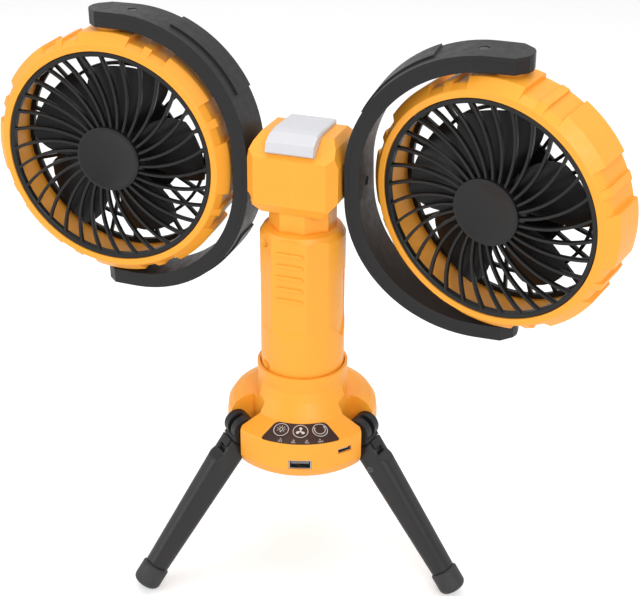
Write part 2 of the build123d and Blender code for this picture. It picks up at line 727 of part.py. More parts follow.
def make_battery_cells():
    spread = (CELL_R + 0.25) / cos(radians(30))
    cells = []
    for index in range(3):
        x, y = polar(spread, 90 + 120 * index)
        can = rod(CELL_R, CELL_LOW, CELL_LOW + CELL_LENGTH - 1.2)
        cells.append(Pos(x, y, 0) * (can + rod(2.8, CELL_LOW, CELL_LOW + CELL_LENGTH)))
    return group(cells)


def make_swivel_ring():
    top = PLATE_BOTTOM - 0.2
    return tube(SWIVEL_RING_R, SPIGOT_R, top - SWIVEL_RING_THICK, top)


def make_lamp_board():
    board = Pos(0, 3, PIVOT_UP + HEAD_TOP - 1.2) * Box(2 * LAMP_HALF - 7, 21, 1.4)
    for x in (-6, 0, 6):
        for y in (-5, 3, 11):
            board += Pos(x, y, PIVOT_UP + HEAD_TOP - 0.1) * Box(2.6, 2.6, 0.9)
    return board


# Brackets: built for the right side, where the column lies at -X
def bracket_outline(inset):
    """Outer line of the C at a depth below its outer face."""
    tip = TIP_OUT - inset
    radius = ARC_R - inset
    rise = TIP_OUT - ARC_R
    k = sin(radians(45))
    top = Line((TIP_END + 5, tip), (-ARC_U, tip))
    upper = ThreePointArc((-ARC_U, tip), (-ARC_U - radius * k, rise + radius * k), (-ARC_U - radius, rise))
    middle = Line((-ARC_U - radius, rise), (-ARC_U - radius, -rise))
    lower = ThreePointArc((-ARC_U - radius, -rise), (-ARC_U - radius * k, -rise - radius * k), (-ARC_U, -tip))
    bottom = Line((-ARC_U, -tip), (TIP_END + 5, -tip))
    return [top, upper, middle, lower, bottom]


def c_shape(outer, inner, half):
    """Solid between two depths of the bracket, half its width on each side."""
    a = bracket_outline(outer)
    b = bracket_outline(inner)
    end = TIP_END + 5
    low = Line((end, outer - TIP_OUT), (end, inner - TIP_OUT))
    high = Line((end, TIP_OUT - inner), (end, TIP_OUT - outer))
    return extrude(Plane.XZ * make_face(a + b + [low, high]), half, both=True)


def bracket_plan():
    """Plan shape: bevelled at the tip and wider towards the column."""
    far = ARC_U + ARC_R + 10
    side = [(TIP_END, -2.5), (TIP_END - 1.5, -6.0), (TIP_END - 8.0, -TIP_HALF_DEPTH + 0.3), (0, -TIP_HALF_DEPTH)]
    side.append((-far, -MID_HALF_DEPTH))
    return side + [(x, -y) for x, y in reversed(side)]


def bracket_body(outer, inner):
    body = c_shape(outer, inner, MID_HALF_DEPTH + 2)
    return body & upright(bracket_plan(), -TIP_OUT - 5, TIP_OUT + 5)


def make_bracket_frame():
    body = bracket_body(COVER_SKIN, BRACKET_THICK)
    body -= c_shape(COVER_SKIN - 0.01, COVER_SKIN + 3.0, 5.0) & (Pos(-40, 0, 0) * Box(96, 12, 300))
    for z in (-1, 1):
        hole = rod(PIVOT_R, TIP_OUT - BRACKET_THICK - 1, TIP_OUT - COVER_SKIN + 1)
        body -= hole if z > 0 else Rot(180, 0, 0) * hole
        screw = Pos(-TIP_SCREW_U, 0, 0) * rod(SCREW_R, TIP_OUT - BRACKET_THICK + 1.5, TIP_OUT)
        body -= screw if z > 0 else Rot(180, 0, 0) * screw
    body -= rod(AXLE_R, -FAN_X, -FAN_X + 60, "X")
    return body


def raised_strip():
    """Strip on the rear part of the cover's outer face, above and below the middle."""
    strip = c_shape(-RAISED, 1.0, MID_HALF_DEPTH + 2)
    strip = strip & upright(bracket_plan(), -TIP_OUT - 5, TIP_OUT + 5)
    reach = 3 * TIP_OUT
    a = polar(reach, 180 - RAISED_FROM)
    b = polar(reach, 180 - RAISED_TO)
    wedge = Pos(0, reach / 2 - RAISED_FRONT, 0) * across_y([(0, 0), a, b], reach / 2)
    return (strip & wedge) + (strip & (wedge.mirror(Plane.XY)))


def make_bracket_cover():
    body = bracket_body(0, COVER_SKIN) + raised_strip()
    for z in (-1, 1):
        cut = rod(SCREW_R, TIP_OUT - COVER_SKIN - 1, TIP_OUT + 1)
        cut += rod(TIP_SCREW_HEAD_R + FIT_GAP, TIP_OUT - 1.6, TIP_OUT + 1)
        cut = Pos(-TIP_SCREW_U, 0, 0) * cut
        body -= cut if z > 0 else Rot(180, 0, 0) * cut
    body -= rod(AXLE_R, -FAN_X, -FAN_X + 60, "X")
    return body


def make_bracket_screws(side):
    screws = []
    for z in (-1, 1):
        body = rod(TIP_SCREW_HEAD_R, TIP_OUT - 1.6, TIP_OUT - 0.5)
        body += rod(SCREW_R - HINGE_GAP, TIP_OUT - BRACKET_THICK + 1.6, TIP_OUT - 1.6)
        body = body if z > 0 else Rot(180, 0, 0) * body
        screws.append(Pos(-side * TIP_SCREW_U, 0, 0) * body)
    return group(screws)


def axle_inner_end():
    return -(FAN_X - HEAD_HALF_X + 9 + NUT_THICK)


def make_bracket_axle():
    """Hollow axle with a flange on the bracket's inner face."""
    inner_face = -(ARC_U + ARC_R - BRACKET_THICK)
    body = rod(AXLE_R, axle_inner_end(), inner_face, "X")
    gap_start = -(FAN_X - HEAD_HALF_X - 0.25)
    spacer = rod(AXLE_FLANGE_R, gap_start, -(ARC_U + ARC_R), "X")
    return body + spacer - rod(AXLE_BORE, -FAN_X - 5, 0, "X")


def make_bracket_nut():
    start = axle_inner_end()
    return tube(NUT_R, AXLE_R, start, start + NUT_THICK - 0.3, "X")


def bracket_place(side):
    pitch = RIGHT_PITCH if side > 0 else LEFT_PITCH
    return Pos(0, 0, PIVOT_Z) * Rot(pitch, 0, 0) * Pos(side * FAN_X, 0, 0)


def sided(shape, side):
    return shape if side > 0 else shape.mirror(Plane.YZ)


# Fan heads: Z runs forwards, Y up
def fan_place(side):
    turn = -RIGHT_TURN if side > 0 else LEFT_TURN
    return bracket_place(side) * Rot(0, 0, turn) * Rot(90, 0, 0)


def pad_ring(radius, arc):
    """One raised pad of the drum's side wall, centred on +X."""
    bevel = radius - LIP_R
    points = [(DRUM_R + 1, RIM_W - 0.6), (LIP_R, RIM_W - 0.6), (radius, RIM_W - 0.6 - 1.1 * bevel)]
    points += [(radius, BACK_W + 1.5), (radius - 1.5, BACK_W), (DRUM_R + 1, BACK_W)]
    return Rot(0, 0, -arc / 2) * turned(points, arc)


def make_fan_housing():
    wall = [(RIM_R + 0.3, RIM_W), (LIP_R - 0.6, RIM_W), (LIP_R, RIM_W - 0.6), (WALL_R, RIM_W - 5)]
    wall += [(WALL_R, BACK_W), (DRUM_R, BACK_W), (DRUM_R, RIM_W - RIM_DEPTH - 2), (RIM_R + 0.3, RIM_W - RIM_DEPTH - 0.3)]
    body = turned(wall)
    for index in range(PAD_COUNT):
        step = 360 / PAD_COUNT
        body += Rot(0, 0, step * index) * pad_ring(PAD_R, PAD_ARC)
        body += Rot(0, 0, step * (index + 0.5)) * pad_ring(RIB_PAD_R, RIB_PAD_ARC)
    boss_end = TIP_OUT - BRACKET_THICK - 0.3
    for side in (-1, 1):
        boss = rod(BOSS_R, WALL_R - 2, boss_end, "Y")
        hole = rod(PIVOT_R + HINGE_GAP, WALL_R - 3.2, boss_end + 1, "Y")
        if side < 0:
            boss = Rot(180, 0, 0) * boss
            hole = Rot(180, 0, 0) * hole
        body = body + boss - hole
    return body


def make_fan_pivots():
    """Two pins held by the bracket's tips, in the bracket's own directions."""
    low = WALL_R - 3.0
    pin = rod(PIVOT_R, low, TIP_OUT - COVER_SKIN)
    return group([pin, Rot(180, 0, 0) * pin])


def spiral_point(radius, side, width):
    """Edge of a spiral rib: the middle line's angle grows with the radius."""
    share = (radius - HUB_R) / (RIM_R - HUB_R)
    bend = 4 * (SPIRAL_MID - SPIRAL_END / 2) * share * (1 - share)
    angle = SPIRAL_END * share + bend
    return polar(radius, angle + side * degrees(width / 2 / radius))


def spiral_rib(inner, outer, width, low, high):
    middle = (inner + outer) / 2
    a = [spiral_point(r, -1, width) for r in (inner, middle, outer)]
    b = [spiral_point(r, 1, width) for r in (outer, middle, inner)]
    edges = [ThreePointArc(*a), Line(a[-1], b[0]), ThreePointArc(*b), Line(b[-1], a[0])]
    return Pos(0, 0, low) * extrude(make_face(edges), high - low)


def make_front_grille(side):
    top = RIM_W - 0.4
    ring = tube(RIM_R, RIM_R - RIM_WIDTH, top - RIM_DEPTH, top)
    hub = rod(HUB_R, top - SPIRAL_DEPTH, RIM_W + HUB_PROUD)
    hub -= rod(HUB_R - 1.8, top - SPIRAL_DEPTH - 1, top - 1.2)
    rib = spiral_rib(HUB_R - 0.9, RIM_R - RIM_WIDTH + 0.8, SPIRAL_WIDTH, top - SPIRAL_DEPTH, top)
    start = 3.4 if side < 0 else 2.8
    ribs = [Rot(0, 0, start + 360 / SPIRAL_COUNT * i) * rib for i in range(SPIRAL_COUNT)]
    body = ring + hub
    body = body.fuse(*ribs)
    return body


def make_rear_grille():
    low = BACK_W + 0.4
    high = low + REAR_THICK
    ring = tube(DRUM_R - FIT_GAP, DRUM_R - REAR_RIM, low, high)
    mid = tube(REAR_MID_R + REAR_RIB / 2, REAR_MID_R - REAR_RIB / 2, low, high - 0.6)
    hub = rod(REAR_HUB_R, low, high)
    rib = Box(DRUM_R - REAR_HUB_R - REAR_RIM + 2, REAR_RIB, REAR_THICK)
    rib = Pos((REAR_HUB_R + DRUM_R - REAR_RIM) / 2, 0, (low + high) / 2) * rib
    ribs = [Rot(0, 0, 360 / REAR_COUNT * i) * rib for i in range(REAR_COUNT)]
    body = ring + hub
    return body.fuse(mid, *ribs)


def make_motor():
    start = BACK_W + 0.4 + REAR_THICK
    body = rod(MOTOR_R, start, start + MOTOR_LENGTH)
    return body - rod(SHAFT_R + HINGE_GAP, start + 1, start + MOTOR_LENGTH + 1)


def make_shaft():
    return rod(SHAFT_R, BACK_W + REAR_THICK + 2, CUP_FRONT - 0.5)


def blade():
    """Blade lofted from a steep root to a flatter, wider tip."""
    sections = []
    for x, chord, tilt in ((15, 21, 42), (66, 62, 22)):
        plane = Plane(origin=(x, 0, 3), x_dir=(0, cos(radians(tilt)), sin(radians(tilt))), z_dir=(1, 0, 0))
        sections.append(plane * Rectangle(chord, BLADE_THICK))
    return loft(sections) & rod(IMPELLER_R, -20, 30)


def make_impeller():
    cup = rod(IMPELLER_HUB_R, CUP_BACK, CUP_FRONT) - rod(IMPELLER_HUB_R - 1.8, CUP_BACK - 1, CUP_FRONT - 2)
    cup += rod(4, CUP_BACK, CUP_FRONT - 1)
    body = cup
    keep = rod(IMPELLER_R + 5, -20, 30) - rod(IMPELLER_HUB_R - 1, -20, 30)
    for index in range(BLADE_COUNT):
        body += Rot(0, 0, 360 / BLADE_COUNT * index) * (blade() & keep)
    return body - rod(SHAFT_R, CUP_BACK - 5, CUP_FRONT - 0.5)


def build():
    os.makedirs("parts", exist_ok=True)
    at = base_place()
    save("base_housing", at * make_base_housing())
    save("base_bottom_cover", at * make_bottom_cover())
    save("base_screws", at * make_base_screws())
    save("control_panel", at * make_control_panel())
    for index, name in enumerate(BUTTON_NAMES):
        save(name, at * button_place(index) * make_button())
    save("gauge_leds", at * make_gauge_leds())
    save("main_board", at * make_main_board())
    save("usb_a_socket", at * usb_a_place() * make_usb_a())
    save("usb_c_socket", at * usb_c_place() * make_usb_c())
    save("leg_pins", at * make_leg_pins())
    for name in LEG_ANGLES:
        place = leg_place(name)
        save(name + "_leg_hinge", place * make_leg_hinge())
        save(name + "_leg", place * make_leg())
        save(name + "_leg_latch", place * make_leg_latch())
        save(name + "_leg_foot", place * make_leg_foot())
        save(name + "_leg_screw", place * make_leg_screw())
    column = column_whole()
    up = column_place()
    save("column_left_shell", up * (column & half_space(-1)))
    save("column_right_shell", up * (column & half_space(1)))
    save("column_screws", up * make_column_screws())
    save("battery_cells", up * make_battery_cells())
    save("swivel_ring", up * make_swivel_ring())
    save("lamp_diffuser", up * make_lamp_diffuser())
    save("lamp_board", up * make_lamp_board())
    frame = make_bracket_frame()
    cover = make_bracket_cover()
    housing = make_fan_housing()
    rear = make_rear_grille()
    impeller = make_impeller()
    for side, word in ((-1, "left"), (1, "right")):
        place = bracket_place(side)
        save(word + "_bracket_frame", place * sided(frame, side))
        save(word + "_bracket_cover", place * sided(cover, side))
        save(word + "_bracket_axle", place * sided(make_bracket_axle(), side))
        save(word + "_bracket_nut", place * sided(make_bracket_nut(), side))
        save(word + "_bracket_screws", place * make_bracket_screws(side))
        save(word + "_fan_pivots", place * make_fan_pivots())
        place = fan_place(side)
        save(word + "_fan_housing", place * housing)
        save(word + "_front_grille", place * make_front_grille(side))
        save(word + "_rear_grille", place * rear)
        save(word + "_fan_motor", place * make_motor())
        save(word + "_motor_shaft", place * make_shaft())
        save(word + "_impeller", place * impeller)


build()
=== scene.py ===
from math import atan2, cos, degrees, pi, radians, sin

import bmesh
import bpy
from bpy.props import FloatProperty, FloatVectorProperty, IntProperty, PointerProperty
from mathutils import Matrix, Vector


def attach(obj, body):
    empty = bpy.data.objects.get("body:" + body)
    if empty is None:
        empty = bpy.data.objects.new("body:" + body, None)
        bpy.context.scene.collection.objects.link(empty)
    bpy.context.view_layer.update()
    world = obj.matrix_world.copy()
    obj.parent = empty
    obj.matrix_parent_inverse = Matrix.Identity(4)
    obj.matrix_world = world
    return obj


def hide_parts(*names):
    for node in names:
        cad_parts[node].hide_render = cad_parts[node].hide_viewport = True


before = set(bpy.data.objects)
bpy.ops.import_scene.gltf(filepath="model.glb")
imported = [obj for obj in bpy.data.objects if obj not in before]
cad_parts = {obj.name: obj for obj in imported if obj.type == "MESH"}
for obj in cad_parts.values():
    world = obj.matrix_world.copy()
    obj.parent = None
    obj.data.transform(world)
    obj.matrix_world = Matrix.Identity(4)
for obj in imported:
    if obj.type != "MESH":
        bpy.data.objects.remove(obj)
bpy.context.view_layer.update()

bl_info = {
    "name": "Twin-head table fan",
    "version": (1, 0, 0),
    "blender": (4, 5, 0),
    "location": "View3D > Sidebar > Table fan",
    "description": "Finishes and fine pieces of a folding table fan with two heads",
    "category": "Object",
}

MM = 0.001

# Heights and places of the CAD model, in millimetres
BASE_Z = 78.07
PIVOT_Z = 262.77
FAN_X = 119.0
BASE_TURN = 18.5
PITCH = {"left": 1.4, "right": 6.3}
HEAD_TURN = {"left": 2.5, "right": -15.4}
SIDE = {"left": -1, "right": 1}
RIM_W = 19.6
LEG_ANGLES = {"left": 210.0, "right": 330.0, "rear": 90.0}
LEG_ANGLE = 53.2
LEG_PIN_OUT = 44.0
LEG_PIN_Z = 101.07

# Front grille: heights along the head's axis, and radii
GRILLE_SET_BACK = 0.4
HUB_PROUD = 0.8
HUB_WALL = 1.8
HUB_SKIN = 1.2
RIM_WIDTH = 3.2
RIM_DEPTH = 4.0
RIB_CORNER = 0.5
RIB_GAIN = 21.0         # degrees from hub to rim
RIB_BEND = 0.8
RIB_START = {"left": 3.4, "right": 2.8}
RIB_IN_HUB = 0.9
RIB_IN_RIM = 2.6
AXIS_R = 0.01           # small hole that a turned profile leaves on its axis

# Impeller
CUP_FRONT = 15.5
CUP_BACK = 3.0
CUP_WALL = 1.8
CUP_SKIN = 2.0
BLADE_START = {"left": 11.0, "right": 25.0}
BLADE_HALF = 34.0       # degrees to each side at the cup
BLADE_TAPER = 11.0
BLADE_SWEEP = 6.0
BLADE_LOW = (2.8, 8.2)  # height at the cup, and how much it falls to the tip
BLADE_HIGH = (12.6, 1.8)
BLADE_CAMBER = 1.2
BLADE_THICK = 0.75      # on each side of the middle surface

# Rear grille
REAR_LOW = -11.6
REAR_HIGH = -8.6
REAR_RIM_R = 67.8
REAR_RIM_WIDTH = 3.2
REAR_MID_R = 51.0
REAR_RIBS = 24
REAR_RIB_WIDTH = 2.0

# Panel: (radius, height) of its inner and outer edges in the base, and shares of the way between them
PANEL_IN = (36.0, 33.3)
PANEL_OUT = (49.8, 27.4)
KEYS = ("light_button", "fan_button", "mode_button")
KEY_STEP = 16.8
KEY_AT = 0.38
KEY_TOP = 0.4
FIGURE_AT = 0.925
GAUGE_STEP = 9.8
PRINT_LOW = KEY_TOP - 0.02
PRINT_HIGH = KEY_TOP + 0.04
RING_IN = 4.35
RING_OUT = 4.75
FIGURE_SIZE = 1.7
FIGURE_THICK = 0.01
FIGURE_PROUD = 0.06

# Wide socket
LOBE_R = 50.4
USB_A_UP = 12.7
TONGUE_HALF = 5.2
TONGUE_THICK = 1.5
TONGUE_GAP = 0.15
TONGUE_FROM = 1.6
TONGUE_TO = 12.0

# Screws that show a cross, drawn as a flat dark cross: painted shade of the cross recess
LEG_SCREW_AT = (25.6, -7.1, -6.2)
TIP_SCREW_IN = 13.6
TIP_SCREW_OUT = 87.1
CROSS_LOW = -0.05
CROSS_HIGH = 0.03

# Camera and stage
FOCAL_PX = 1269.5
PHOTO_WIDTH = 640
SENSOR = 36.0
CAMERA_AT = (0.242482, -0.661345, 0.524357)
CAMERA_TURN = 19.2707   # degrees
CAMERA_HEIGHT = 26.0324
CAMERA_ROLL = 0.536
FLOOR_HALF = 4
FLOOR_GLOW = 0.30
WORLD_LEVEL = 0.58
LOOK_AT = (0.0, 0.0, 0.2)
LIGHTS = (("Key", (0.9, -1.3, 1.1), (0.9, 0.9), 15.0),
          ("Fill", (-1.3, -1.0, 0.7), (1.0, 1.0), 7.0),
          ("Top", (0.0, 0.2, 1.6), (1.2, 1.2), 9.0))

# Shading angles, in degrees, above which an edge stays sharp
CAD_SHARP = 28
PIECE_SHARP = 40
WELD = 0.0005


# Places
def shift(x=0.0, y=0.0, z=0.0):
    return Matrix.Translation((x, y, z))


def turn(angle, axis):
    return Matrix.Rotation(radians(angle), 4, axis)


def bracket_place(side):
    return shift(z=PIVOT_Z) @ turn(PITCH[side], "X") @ shift(x=SIDE[side] * FAN_X)


def head_place(side):
    """Z runs forwards out of the grille, Y up."""
    return bracket_place(side) @ turn(HEAD_TURN[side], "Z") @ turn(90, "X")


def base_place():
    return shift(z=BASE_Z) @ turn(BASE_TURN, "Z")


def leg_place(name):
    """X runs down the leg from its pin, Y across it, Z to its outer face."""
    around = turn(BASE_TURN + LEG_ANGLES[name], "Z")
    return around @ shift(LEG_PIN_OUT, 0, LEG_PIN_Z) @ turn(LEG_ANGLE, "Y")


# Meshes
def add_piece(name, part, material, body, place):
    """Object from a part in millimetres, which rides on a body."""
    verts, faces = part
    mesh = bpy.data.meshes.new(name)
    mesh.from_pydata([tuple(v) for v in verts], [], faces)
    work = bmesh.new()
    work.from_mesh(mesh)
    bmesh.ops.remove_doubles(work, verts=work.verts, dist=WELD)
    bmesh.ops.recalc_face_normals(work, faces=work.faces)
    work.to_mesh(mesh)
    work.free()
    mesh.transform(Matrix.Scale(MM, 4) @ place)
    mesh.materials.append(material)
    mesh.polygons.foreach_set("use_smooth", [True] * len(mesh.polygons))
    mesh.set_sharp_from_angle(angle=radians(PIECE_SHARP))
    piece = bpy.data.objects.new(name, mesh)
    bpy.context.scene.collection.objects.link(piece)
    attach(piece, body)
    return piece


def lathe(profile, steps=96):
    """Turns a closed profile of (radius, height) about Z."""
    verts = []
    for i in range(steps):
        a = 2 * pi * i / steps
        verts += [(r * cos(a), r * sin(a), z) for r, z in profile]
    count = len(profile)
    faces = []
    for i in range(steps):
        j = (i + 1) % steps
        for k in range(count):
            n = (k + 1) % count
            faces.append((i * count + k, j * count + k, j * count + n, i * count + n))
    return verts, faces


def sweep(sections):
    """Skin over closed sections with the same number of points, capped at both ends."""
    count = len(sections[0])
    verts = [p for section in sections for p in section]
    faces = []
    for i in range(len(sections) - 1):
        for k in range(count):
            n = (k + 1) % count
            faces.append((i * count + k, i * count + n, (i + 1) * count + n, (i + 1) * count + k))
    faces.append(tuple(reversed(range(count))))
    last = (len(sections) - 1) * count
    faces.append(tuple(range(last, last + count)))
    return verts, faces


def rounded_box_section(half_w, low, high, radius, steps=3):
    """Closed outline of (across, height) with rounded corners."""
    points = []
    corners = ((half_w - radius, low + radius, -90), (half_w - radius, high - radius, 0),
               (radius - half_w, high - radius, 90), (radius - half_w, low + radius, 180))
    for x, z, start in corners:
        for i in range(steps + 1):
            a = radians(start + 90 * i / steps)
            points.append((x + radius * cos(a), z + radius * sin(a)))
    return points


def join_parts(parts):
    verts = []
    faces = []
    for part_verts, part_faces in parts:
        base = len(verts)
        verts += list(part_verts)
        faces += [tuple(i + base for i in face) for face in part_faces]
    return verts, faces


def moved(part, place):
    verts, faces = part
    return [place @ Vector(v) for v in verts], faces


def plate(outline, low, high):
    """Flat piece from an outline of (x, y)."""
    count = len(outline)
    verts = [(x, y, low) for x, y in outline] + [(x, y, high) for x, y in outline]
    faces = [tuple(reversed(range(count))), tuple(range(count, 2 * count))]
    for k in range(count):
        n = (k + 1) % count
        faces.append((k, n, n + count, k + count))
    return verts, faces


def ribbon(points, width, low, high):
    """Line of one width along points of (x, y), with round ends."""
    left, right = [], []
    for i, point in enumerate(points):
        before = Vector(points[max(i - 1, 0)])
        after = Vector(points[min(i + 1, len(points) - 1)])
        along = (after - before).normalized()
        across = Vector((-along.y, along.x)) * width / 2
        left.append(Vector(point) + across)
        right.append(Vector(point) - across)
    start, end = Vector(points[0]), Vector(points[-1])
    first = (Vector(points[1]) - start).normalized()
    last = (end - Vector(points[-2])).normalized()
    outline = left + cap(end, last, width) + list(reversed(right)) + cap(start, -first, width)
    return plate([tuple(p) for p in outline], low, high)


def cap(centre, along, width, steps=4):
    across = Vector((-along.y, along.x))
    points = []
    for i in range(1, steps):
        a = pi / 2 - pi * i / steps
        points.append(centre + (along * cos(a) + across * sin(a)) * width / 2)
    return points


def arc_points(radius, start, end, steps=24, centre=(0.0, 0.0)):
    points = []
    for i in range(steps + 1):
        a = radians(start + (end - start) * i / steps)
        points.append((centre[0] + radius * cos(a), centre[1] + radius * sin(a)))
    return points


# Settings
class TableFanSizes(bpy.types.PropertyGroup):
    rim_radius: FloatProperty(name="Rim radius", description="Outer radius of the front grille, mm",
                              default=66.0, min=40.0)
    hub_radius: FloatProperty(name="Hub radius", description="Radius of the grille's flat hub, mm",
                              default=20.2, min=8.0)
    rib_count: IntProperty(name="Ribs", description="Curved ribs of a front grille", default=32, min=8)
    rib_width: FloatProperty(name="Rib width", description="Width of a curved rib, mm", default=1.75, min=0.5)
    rib_depth: FloatProperty(name="Rib depth", description="Depth of a curved rib, mm", default=3.2, min=0.5)
    cup_radius: FloatProperty(name="Cup radius", description="Radius of the impeller's cup, mm", default=19.0,
                              min=8.0)
    blade_radius: FloatProperty(name="Blade radius", description="Radius at a blade's tip, mm", default=54.5,
                                min=20.0)
    blade_count: IntProperty(name="Blades", description="Blades of an impeller", default=5, min=2)
    motor_plate: FloatProperty(name="Motor plate", description="Radius of the plate behind the motor, mm",
                               default=36.0, min=16.0)
    edge_radius: FloatProperty(name="Edge radius", description="Soft edge of moulded plastic", default=0.0006,
                               unit="LENGTH")
    leg_round: FloatProperty(name="Leg rounding", description="Soft edge of the round-backed legs",
                             default=0.0028, unit="LENGTH")


class TableFanColours(bpy.types.PropertyGroup):
    orange: FloatVectorProperty(name="Orange", description="Orange housings", subtype="COLOR",
                                default=(0.95, 0.385, 0.032))
    black: FloatVectorProperty(name="Black", description="Black plastic of brackets and legs",
                               subtype="COLOR", default=(0.012, 0.012, 0.013))
    grille: FloatVectorProperty(name="Grille", description="Black plastic of the grilles", subtype="COLOR",
                                default=(0.008, 0.0078, 0.008))
    panel: FloatVectorProperty(name="Panel", description="Dark brown panel film", subtype="COLOR",
                               default=(0.042, 0.020, 0.016))
    milky: FloatVectorProperty(name="Lamp", description="Milky lamp cover", subtype="COLOR",
                               default=(0.60, 0.60, 0.63))
    ink: FloatVectorProperty(name="Print", description="Print on the panel", subtype="COLOR",
                             default=(0.66, 0.62, 0.60))


# Materials
def new_material(name):
    material = bpy.data.materials.new(name)
    material.use_nodes = True
    nodes = material.node_tree.nodes
    return material, nodes, material.node_tree.links, nodes["Principled BSDF"]


def noise(nodes, links, scale, detail=3.0, rough=0.5):
    place = nodes.new("ShaderNodeTexCoord")
    grain = nodes.new("ShaderNodeTexNoise")
    grain.inputs["Scale"].default_value = scale
    grain.inputs["Detail"].default_value = detail
    grain.inputs["Roughness"].default_value = rough
    links.new(place.outputs["Object"], grain.inputs["Vector"])
    return grain


def ramp_value(nodes, links, source, low, high):
    span = nodes.new("ShaderNodeMapRange")
    span.inputs["From Min"].default_value = 0.3
    span.inputs["From Max"].default_value = 0.7
    span.inputs["To Min"].default_value = low
    span.inputs["To Max"].default_value = high
    links.new(source, span.inputs["Value"])
    return span.outputs["Result"]


def plastic(name, colour, rough, spread=0.06, tint=0.06, grain_scale=2600.0, grain=0.12, edge=None,
            specular=0.5):
    """Moulded plastic: fine grain, uneven gloss, a slight drift of colour and soft edges."""
    material, nodes, links, shader = new_material(name)
    shader.inputs["Specular IOR Level"].default_value = specular
    cloud = noise(nodes, links, 38.0)
    mix = nodes.new("ShaderNodeMix")
    mix.data_type = "RGBA"
    mix.inputs["A"].default_value = (*[c * (1 - tint) for c in colour], 1)
    mix.inputs["B"].default_value = (*[min(c * (1 + tint), 1.0) for c in colour], 1)
    links.new(cloud.outputs["Fac"], mix.inputs["Factor"])
    links.new(mix.outputs["Result"], shader.inputs["Base Color"])
    smear = noise(nodes, links, 210.0, 4.0, 0.6)
    links.new(ramp_value(nodes, links, smear.outputs["Fac"], rough - spread, rough + spread),
              shader.inputs["Roughness"])
    fine = noise(nodes, links, grain_scale, 2.0)
    bump = nodes.new("ShaderNodeBump")
    bump.inputs["Strength"].default_value = grain
    bump.inputs["Distance"].default_value = 0.00006
    links.new(fine.outputs["Fac"], bump.inputs["Height"])
    if edge:
        soft = nodes.new("ShaderNodeBevel")
        soft.samples = 6
        soft.inputs["Radius"].default_value = edge
        links.new(soft.outputs["Normal"], bump.inputs["Normal"])
    links.new(bump.outputs["Normal"], shader.inputs["Normal"])
    return material


def milky_plastic(name, colour):
    material = plastic(name, colour, 0.42, 0.05, 0.02, 1800.0, 0.06, 0.0008)
    shader = material.node_tree.nodes["Principled BSDF"]
    shader.inputs["Subsurface Weight"].default_value = 0.35
    shader.inputs["Subsurface Radius"].default_value = (1.0, 1.0, 1.0)
    shader.inputs["Subsurface Scale"].default_value = 0.002
    return material


def steel(name, rough=0.28, colour=(0.56, 0.56, 0.58)):
    """Turned or pressed bright metal with fine lines."""
    material, nodes, links, shader = new_material(name)
    shader.inputs["Metallic"].default_value = 1.0
    shader.inputs["Base Color"].default_value = (*colour, 1)
    lines = noise(nodes, links, 900.0, 3.0)
    gloss = ramp_value(nodes, links, lines.outputs["Fac"], rough - 0.08, rough + 0.1)
    links.new(gloss, shader.inputs["Roughness"])
    bump = nodes.new("ShaderNodeBump")
    bump.inputs["Strength"].default_value = 0.1
    bump.inputs["Distance"].default_value = 0.00004
    links.new(lines.outputs["Fac"], bump.inputs["Height"])
    links.new(bump.outputs["Normal"], shader.inputs["Normal"])
    return material


MATERIALS = {}


def make_materials(sizes, colours):
    edge = sizes.edge_radius
    orange = tuple(colours.orange)
    black = tuple(colours.black)
    grille = tuple(colours.grille)
    panel = tuple(colours.panel)
    blade = (0.009, 0.009, 0.010)
    MATERIALS.update({
        "orange": plastic("Orange satin plastic", orange, 0.42, 0.06, 0.035, 2400.0, 0.10, edge, 0.4),
        "shell": plastic("Orange column plastic", orange, 0.42, 0.06, 0.035, 2400.0, 0.10, 0.0002, 0.4),
        "leg": plastic("Black leg plastic", black, 0.38, 0.07, 0.12, 1900.0, 0.16, sizes.leg_round, 0.36),
        "black": plastic("Black grained plastic", black, 0.46, 0.08, 0.12, 1900.0, 0.22, edge, 0.26),
        "grille": plastic("Black grille plastic", grille, 0.36, 0.06, 0.10, 2600.0, 0.10, None, 0.28),
        "rear": plastic("Black rear grille plastic", grille, 0.42, 0.06, 0.10, 2600.0, 0.10, None, 0.2),
        "blade": plastic("Black blade plastic", blade, 0.32, 0.05, 0.08, 2200.0, 0.06, None, 0.2),
        # Dark colour used only for the crosses on the screws: painted shade of their cross recesses
        "hub": plastic("Painted screw recess shade", (0.013, 0.013, 0.013), 0.40, 0.05, 0.08, 2800.0, 0.12),
        "panel": plastic("Brown panel film", panel, 0.34, 0.05, 0.08, 1500.0, 0.05, None, 0.3),
        "key": plastic("Brown key cap", panel, 0.34, 0.05, 0.08, 1500.0, 0.06, 0.0003, 0.3),
        "milky": milky_plastic("Milky lamp plastic", tuple(colours.milky)),
        "ink": plastic("Panel print", tuple(colours.ink), 0.5, 0.05, 0.03),
        "led": plastic("Gauge lamp", (0.30, 0.24, 0.22), 0.3, 0.04, 0.03),
        "rubber": plastic("Black foot rubber", (0.020, 0.020, 0.021), 0.62, 0.08, 0.15, 1500.0, 0.45, edge),
        "steel": steel("Bright steel"),
        "socket": steel("Socket shell", 0.34, (0.42, 0.41, 0.42)),
        "tongue": plastic("Socket tongue", (0.16, 0.15, 0.16), 0.4, 0.05, 0.05),
        "board": plastic("Circuit board", (0.012, 0.10, 0.035), 0.4, 0.06, 0.2, 700.0, 0.2),
        "cell": plastic("Cell sleeve", (0.03, 0.10, 0.32), 0.35, 0.05, 0.05),
        "screw": steel("Black screw", 0.42, (0.10, 0.10, 0.11)),
    })


